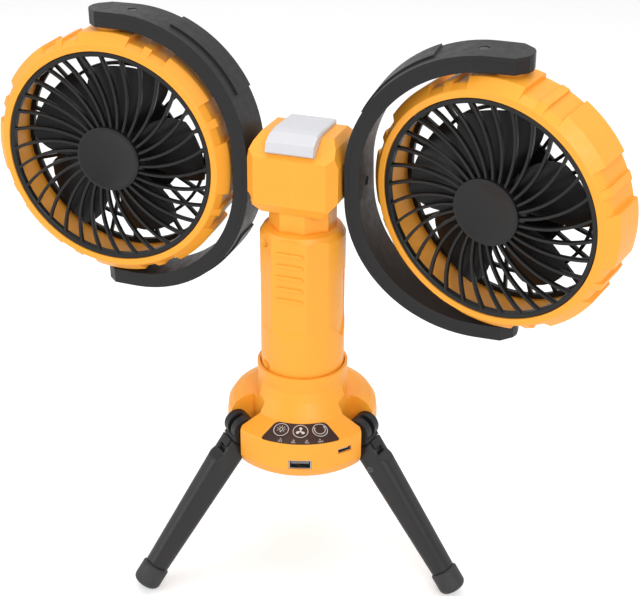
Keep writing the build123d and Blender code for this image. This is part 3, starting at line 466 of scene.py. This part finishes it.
def finish_of(node):
    """Finish of a CAD node."""
    plain = {"control_panel": "panel", "gauge_leds": "led", "main_board": "board", "lamp_board": "board",
             "battery_cells": "cell", "lamp_diffuser": "milky", "usb_a_socket": "socket",
             "usb_c_socket": "socket", "leg_pins": "steel", "swivel_ring": "black",
             "base_bottom_cover": "orange"}
    if node in plain:
        return plain[node]
    ends = {"_button": "key", "_foot": "rubber", "_housing": "orange", "_shell": "shell",
            "_impeller": "blade", "front_grille": "grille", "rear_grille": "rear", "_leg_screw": "screw",
            "_bracket_screws": "screw", "_motor": "steel", "_shaft": "steel", "_pivots": "steel",
            "_screws": "steel", "_nut": "steel", "_leg": "leg"}
    for end, finish in ends.items():
        if node.endswith(end):
            return finish
    return "black"


# Pieces
class TABLEFAN_OT_finishes(bpy.types.Operator):
    """Give every CAD piece its finish"""
    bl_idname = "table_fan.finishes"
    bl_label = "Finishes"

    def execute(self, context):
        make_materials(context.scene.table_fan_sizes, context.scene.table_fan_colours)
        for name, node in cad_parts.items():
            node.data.materials.clear()
            node.data.materials.append(MATERIALS[finish_of(name)])
            node.data.polygons.foreach_set("use_smooth", [True] * len(node.data.polygons))
            node.data.set_sharp_from_angle(angle=radians(CAD_SHARP))
        return {"FINISHED"}


def spiral_angle(share):
    """Degrees that a rib has gained at a share of its way from hub to rim."""
    return RIB_GAIN * share - RIB_BEND * share * (1 - share)


def spiral_rib(sizes, low, high, steps=22):
    """Curved rib, each section square to the rib's own line."""
    section = rounded_box_section(sizes.rib_width / 2, low, high, RIB_CORNER)
    inner = sizes.hub_radius - RIB_IN_HUB
    outer = sizes.rim_radius - RIB_IN_RIM
    reach = sizes.rim_radius - sizes.hub_radius
    step = 0.01
    sections = []
    for i in range(steps + 1):
        radius = inner + (outer - inner) * i / steps
        share = (radius - sizes.hub_radius) / reach
        angle = radians(spiral_angle(share))
        slope = radians(spiral_angle(share + step) - spiral_angle(share)) / (step * reach)
        lean = atan2(radius * slope, 1.0)
        across = Vector((-sin(angle + lean), cos(angle + lean), 0))
        centre = Vector((radius * cos(angle), radius * sin(angle), 0))
        sections.append([centre + across * w + Vector((0, 0, z)) for w, z in section])
    return sweep(sections)


class TABLEFAN_OT_front_grilles(bpy.types.Operator):
    """Build the front grilles with their curved ribs"""
    bl_idname = "table_fan.front_grilles"
    bl_label = "Front grilles"

    def execute(self, context):
        sizes = context.scene.table_fan_sizes
        top = RIM_W - GRILLE_SET_BACK
        low = top - sizes.rib_depth
        rim = sizes.rim_radius
        hub = sizes.hub_radius
        back = top - RIM_DEPTH
        ring = [(rim - RIM_WIDTH + 0.1, top - 0.5), (rim - 2.6, top), (rim - 0.4, top), (rim, top - 0.4),
                (rim, back), (rim - 2.8, back), (rim - RIM_WIDTH, top - 3.5)]
        face = RIM_W + HUB_PROUD
        disc = [(AXIS_R, face - 0.25), (hub - 2.6, face - 0.25), (hub - 2.2, face), (hub - 0.6, face),
                (hub - 0.15, face - 0.2), (hub, face - 0.7), (hub, low), (hub - HUB_WALL, low),
                (hub - HUB_WALL, top - HUB_SKIN), (AXIS_R, top - HUB_SKIN)]
        rib = spiral_rib(sizes, low, top)
        count = sizes.rib_count
        for side in SIDE:
            parts = [lathe(ring, 160), lathe(disc, 96)]
            parts += [moved(rib, turn(RIB_START[side] + 360 / count * i, "Z")) for i in range(count)]
            piece = add_piece(side + "_curved_grille", join_parts(parts), MATERIALS["grille"], side + "_head",
                              head_place(side))
            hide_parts(side + "_front_grille")
        return {"FINISHED"}


def fan_blade(sizes, steps=14, across=16):
    """Wide cambered blade, from the cup to the tip."""
    root = sizes.cup_radius - 0.5
    sections = []
    for i in range(steps + 1):
        share = i / steps
        radius = root + (sizes.blade_radius - root) * share
        half = BLADE_HALF - BLADE_TAPER * share ** 3
        middle = -BLADE_SWEEP * share
        low = BLADE_LOW[0] - BLADE_LOW[1] * share
        high = BLADE_HIGH[0] - BLADE_HIGH[1] * share
        top, under = [], []
        for k in range(across + 1):
            t = 2 * k / across - 1
            a = radians(middle + half * t)
            z = (low + high) / 2 + (high - low) / 2 * t + BLADE_CAMBER * (1 - t * t)
            thick = BLADE_THICK * (1 - 0.75 * t ** 6)
            top.append(Vector((radius * cos(a), radius * sin(a), z + thick)))
            under.append(Vector((radius * cos(a), radius * sin(a), z - thick)))
        sections.append(top + list(reversed(under)))
    return sweep(sections)


class TABLEFAN_OT_impellers(bpy.types.Operator):
    """Build the impellers with their wide cambered blades"""
    bl_idname = "table_fan.impellers"
    bl_label = "Impellers"

    def execute(self, context):
        sizes = context.scene.table_fan_sizes
        cup = sizes.cup_radius
        inside = CUP_FRONT - CUP_SKIN
        profile = [(AXIS_R, CUP_FRONT), (cup - 1.6, CUP_FRONT), (cup - 0.5, CUP_FRONT - 0.5),
                   (cup, CUP_FRONT - 1.6), (cup, CUP_BACK), (cup - CUP_WALL, CUP_BACK),
                   (cup - CUP_WALL, inside), (AXIS_R, inside)]
        blade = fan_blade(sizes)
        count = sizes.blade_count
        for side in SIDE:
            parts = [lathe(profile, 72)]
            parts += [moved(blade, turn(BLADE_START[side] + 360 / count * i, "Z")) for i in range(count)]
            piece = add_piece(side + "_bladed_impeller", join_parts(parts), MATERIALS["blade"],
                              side + "_fan_rotor", head_place(side))
            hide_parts(side + "_impeller")
        return {"FINISHED"}


class TABLEFAN_OT_rear_grilles(bpy.types.Operator):
    """Build the rear grilles with their motor plate and radial ribs"""
    bl_idname = "table_fan.rear_grilles"
    bl_label = "Rear grilles"

    def execute(self, context):
        sizes = context.scene.table_fan_sizes
        low, high = REAR_LOW, REAR_HIGH
        rim = REAR_RIM_R
        hub = sizes.motor_plate
        inner = rim - REAR_RIM_WIDTH
        half = REAR_RIB_WIDTH / 2
        ring = [(inner, high - 0.5), (inner + 0.5, high), (rim - 0.4, high), (rim, high - 0.4), (rim, low),
                (inner, low)]
        mid_in, mid_out = REAR_MID_R - half, REAR_MID_R + half
        middle = [(mid_in, high - 1.0), (mid_in + 0.4, high - 0.6), (mid_out - 0.4, high - 0.6),
                  (mid_out, high - 1.0), (mid_out, low), (mid_in, low)]
        plate_side = [(AXIS_R, high), (hub - 2.2, high), (hub - 1.8, high - 0.8), (hub - 0.5, high - 0.8),
                      (hub, high - 1.3), (hub, low), (AXIS_R, low)]
        section = rounded_box_section(half, low, high, RIB_CORNER)
        rib = sweep([[Vector((x, w, z)) for w, z in section] for x in (hub - 1.5, rim - 2.0)])
        for side in SIDE:
            parts = [lathe(ring, 144), lathe(middle, 120), lathe(plate_side, 96)]
            parts += [moved(rib, turn(360 / REAR_RIBS * i, "Z")) for i in range(REAR_RIBS)]
            piece = add_piece(side + "_ribbed_back", join_parts(parts), MATERIALS["rear"], side + "_head",
                              head_place(side))
            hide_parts(side + "_rear_grille")
        return {"FINISHED"}


def on_panel(share, angle):
    """Place on the panel: X to the right, Y up the slope, Z off the surface."""
    radius = PANEL_IN[0] + share * (PANEL_OUT[0] - PANEL_IN[0])
    height = PANEL_IN[1] + share * (PANEL_OUT[1] - PANEL_IN[1])
    tilt = degrees(atan2(PANEL_IN[1] - PANEL_OUT[1], PANEL_OUT[0] - PANEL_IN[0]))
    at = base_place() @ turn(-90 + angle, "Z") @ shift(radius, 0, height) @ turn(tilt, "Y")
    return at @ turn(90, "Z")


def light_icon(low, high):
    parts = [ribbon(arc_points(1.05, -40, 220, 16, (0, 0.35)), 0.34, low, high),
             ribbon([(-0.45, -0.5), (-0.3, -1.2), (0.3, -1.2), (0.45, -0.5)], 0.34, low, high),
             ribbon([(-0.25, -1.6), (0.25, -1.6)], 0.4, low, high)]
    for i in range(7):
        a = radians(-30 + 40 * i)
        parts.append(ribbon([(1.75 * cos(a), 0.35 + 1.75 * sin(a)), (2.6 * cos(a), 0.35 + 2.6 * sin(a))],
                            0.34, low, high))
    return join_parts(parts)


def fan_icon(low, high):
    blade = [(0.25, 0.1), (0.75, 1.0), (1.15, 1.9), (0.85, 2.7), (0.1, 3.0), (-0.65, 2.7), (-0.85, 1.9),
             (-0.4, 1.0), (-0.25, 0.1)]
    parts = []
    for i in range(3):
        spin = turn(120 * i, "Z")
        outline = [tuple((spin @ Vector((x, y, 0))).xy) for x, y in blade]
        parts.append(plate(outline, low, high))
    parts.append(plate(arc_points(0.42, 0, 345, 23), low, high))
    return join_parts(parts)


def swing_icon(low, high):
    return join_parts([ribbon(arc_points(3.3, -205, 25, 30, (0, 0.5)), 0.42, low, high),
                       plate(arc_points(0.5, 0, 345, 15, (-3.0, 1.9)), low, high),
                       plate(arc_points(0.5, 0, 345, 15, (3.0, 1.9)), low, high)])


class TABLEFAN_OT_panel_print(bpy.types.Operator):
    """Print the key rings, the three signs and the gauge's figures"""
    bl_idname = "table_fan.panel_print"
    bl_label = "Panel print"

    def execute(self, context):
        low, high = PRINT_LOW, PRINT_HIGH
        ring = lathe([(RING_IN, low), (RING_OUT, low), (RING_OUT, high), (RING_IN, high)], 64)
        signs = (light_icon, fan_icon, swing_icon)
        for i, name in enumerate(KEYS):
            at = on_panel(KEY_AT, (i - 1) * KEY_STEP)
            part = join_parts([ring, signs[i](low, high)])
            add_piece(name + "_print", part, MATERIALS["ink"], name + "_key", at)
        for i in range(4):
            angle = GAUGE_STEP * (i - 1.5)
            curve = bpy.data.curves.new("gauge_figure_%d" % (i + 1), "FONT")
            curve.body = "%d%%" % (25 * (i + 1))
            curve.size = FIGURE_SIZE * MM
            curve.extrude = FIGURE_THICK * MM
            curve.align_x = "CENTER"
            curve.align_y = "CENTER"
            curve.resolution_u = 2
            curve.materials.append(MATERIALS["ink"])
            text = bpy.data.objects.new(curve.name, curve)
            context.scene.collection.objects.link(text)
            place = on_panel(FIGURE_AT, angle) @ shift(z=FIGURE_PROUD)
            text.matrix_world = Matrix.Translation(place.translation * MM) @ place.to_3x3().to_4x4()
            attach(text, "base")
        return {"FINISHED"}


class TABLEFAN_OT_socket_tongues(bpy.types.Operator):
    """Put the contact tongue in the wide socket"""
    bl_idname = "table_fan.socket_tongues"
    bl_label = "Socket tongue"

    def execute(self, context):
        box = rounded_box_section(TONGUE_HALF, 0.0, TONGUE_THICK, 0.15, 1)
        sections = [[(w, y, z) for w, z in box] for y in (TONGUE_FROM - LOBE_R, TONGUE_TO - LOBE_R)]
        at = base_place() @ shift(z=USB_A_UP + TONGUE_GAP)
        add_piece("usb_a_tongue", sweep(sections), MATERIALS["tongue"], "base", at)
        return {"FINISHED"}


class TABLEFAN_OT_screw_crosses(bpy.types.Operator):
    """Show the crosses of the leg screws and the bracket screws, as flat dark crosses that are painted shade
    of their cross recesses
    """
    bl_idname = "table_fan.screw_crosses"
    bl_label = "Screw recess shades"

    def execute(self, context):
        # A flat dark plate in the shape of the cross: painted shade where the screw's recess would be
        cross = [(-0.3, -1.2), (0.3, -1.2), (0.3, -0.3), (1.2, -0.3), (1.2, 0.3), (0.3, 0.3), (0.3, 1.2),
                 (-0.3, 1.2), (-0.3, 0.3), (-1.2, 0.3), (-1.2, -0.3), (-0.3, -0.3)]
        cross_shade_plate = plate(cross, CROSS_LOW, CROSS_HIGH)
        for name in LEG_ANGLES:
            at = leg_place(name) @ shift(*LEG_SCREW_AT) @ turn(90, "X")
            add_piece(name + "_leg_screw_recess_shade", cross_shade_plate, MATERIALS["hub"], name + "_leg_body",
                      at)
        for side in SIDE:
            inward = -SIDE[side] * TIP_SCREW_IN
            parts = [moved(cross_shade_plate, shift(inward, 0, TIP_SCREW_OUT)),
                     moved(cross_shade_plate, shift(inward, 0, -TIP_SCREW_OUT) @ turn(180, "X"))]
            add_piece(side + "_tip_screw_recess_shade", join_parts(parts), MATERIALS["hub"], side + "_bracket",
                      bracket_place(side))
        return {"FINISHED"}


# Stage
def camera_or_glossy(nodes, links):
    """1 for rays from the camera or off a glossy surface, otherwise 0."""
    path = nodes.new("ShaderNodeLightPath")
    seen = nodes.new("ShaderNodeMath")
    seen.operation = "MAXIMUM"
    links.new(path.outputs["Is Camera Ray"], seen.inputs[0])
    links.new(path.outputs["Is Glossy Ray"], seen.inputs[1])
    return seen.outputs[0]


def white_floor():
    material, nodes, links, shader = new_material("White studio floor")
    shader.inputs["Base Color"].default_value = (0.90, 0.90, 0.90, 1)
    shader.inputs["Roughness"].default_value = 0.9
    shader.inputs["Specular IOR Level"].default_value = 0.1
    glow = nodes.new("ShaderNodeMath")
    glow.operation = "MULTIPLY"
    glow.inputs[1].default_value = FLOOR_GLOW
    links.new(camera_or_glossy(nodes, links), glow.inputs[0])
    shader.inputs["Emission Color"].default_value = (1, 1, 1, 1)
    links.new(glow.outputs[0], shader.inputs["Emission Strength"])
    return material


def studio_world():
    """Soft even light, seen as pure white by the camera and in reflections."""
    world = bpy.data.worlds.new("Studio")
    world.use_nodes = True
    nodes, links = world.node_tree.nodes, world.node_tree.links
    back = nodes["Background"]
    back.inputs["Color"].default_value = (1, 1, 1, 1)
    level = nodes.new("ShaderNodeMapRange")
    level.inputs["To Min"].default_value = WORLD_LEVEL
    level.inputs["To Max"].default_value = 1.0
    links.new(camera_or_glossy(nodes, links), level.inputs["Value"])
    links.new(level.outputs["Result"], back.inputs["Strength"])
    return world


def soft_light(name, place, size, power):
    light = bpy.data.lights.new(name, "AREA")
    light.shape = "RECTANGLE"
    light.size, light.size_y = size
    light.energy = power
    lamp = bpy.data.objects.new(name, light)
    lamp.location = place
    lamp.rotation_euler = (Vector(LOOK_AT) - Vector(place)).to_track_quat("-Z", "Y").to_euler()
    bpy.context.scene.collection.objects.link(lamp)


def photo_camera():
    """Camera at the photograph's viewing angle."""
    camera = bpy.data.cameras.new("Camera")
    camera.sensor_width = SENSOR
    camera.lens = FOCAL_PX / PHOTO_WIDTH * SENSOR
    camera.clip_start = 0.01
    view = bpy.data.objects.new("Camera", camera)
    azimuth, height, roll = radians(CAMERA_TURN), radians(CAMERA_HEIGHT), radians(CAMERA_ROLL)
    back_axis = Vector((sin(azimuth) * cos(height), -cos(azimuth) * cos(height), sin(height)))
    right = Vector((cos(azimuth), sin(azimuth), 0))
    up = back_axis.cross(right)
    x_axis = right * cos(roll) + up * sin(roll)
    y_axis = up * cos(roll) - right * sin(roll)
    rotation = Matrix((x_axis, y_axis, back_axis)).transposed().to_4x4()
    view.matrix_world = Matrix.Translation(CAMERA_AT) @ rotation
    return view


class TABLEFAN_OT_stage(bpy.types.Operator):
    """Set up the floor, the soft studio light and the camera"""
    bl_idname = "table_fan.stage"
    bl_label = "Stage"

    def execute(self, context):
        scene = context.scene
        mesh = bpy.data.meshes.new("floor")
        half = FLOOR_HALF
        corners = [(-half, -half, 0), (half, -half, 0), (half, half, 0), (-half, half, 0)]
        mesh.from_pydata(corners, [], [(0, 1, 2, 3)])
        mesh.materials.append(white_floor())
        floor = bpy.data.objects.new("floor", mesh)
        scene.collection.objects.link(floor)
        scene.world = studio_world()
        for name, place, size, power in LIGHTS:
            soft_light(name, place, size, power)
        view = photo_camera()
        scene.collection.objects.link(view)
        scene.camera = view
        scene.view_settings.view_transform = "Standard"
        return {"FINISHED"}


class TABLEFAN_PT_panel(bpy.types.Panel):
    bl_label = "Table fan"
    bl_idname = "TABLEFAN_PT_panel"
    bl_space_type = "VIEW_3D"
    bl_region_type = "UI"
    bl_category = "Table fan"

    def draw(self, context):
        layout = self.layout
        for group in (context.scene.table_fan_sizes, context.scene.table_fan_colours):
            for name in group.__annotations__:
                layout.prop(group, name)
        for operator in OPERATORS:
            layout.operator(operator.bl_idname)


OPERATORS = (
    TABLEFAN_OT_finishes,
    TABLEFAN_OT_front_grilles,
    TABLEFAN_OT_impellers,
    TABLEFAN_OT_rear_grilles,
    TABLEFAN_OT_panel_print,
    TABLEFAN_OT_socket_tongues,
    TABLEFAN_OT_screw_crosses,
    TABLEFAN_OT_stage,
)
CLASSES = (TableFanSizes, TableFanColours, *OPERATORS, TABLEFAN_PT_panel)


def register():
    for item in CLASSES:
        bpy.utils.register_class(item)
    bpy.types.Scene.table_fan_sizes = PointerProperty(type=TableFanSizes)
    bpy.types.Scene.table_fan_colours = PointerProperty(type=TableFanColours)


def unregister():
    del bpy.types.Scene.table_fan_colours
    del bpy.types.Scene.table_fan_sizes
    for item in reversed(CLASSES):
        bpy.utils.unregister_class(item)


def main():
    register()
    bpy.ops.table_fan.finishes()
    bpy.ops.table_fan.front_grilles()
    bpy.ops.table_fan.impellers()
    bpy.ops.table_fan.rear_grilles()
    bpy.ops.table_fan.panel_print()
    bpy.ops.table_fan.socket_tongues()
    bpy.ops.table_fan.screw_crosses()
    bpy.ops.table_fan.stage()


if __name__ == "__main__":
    main()
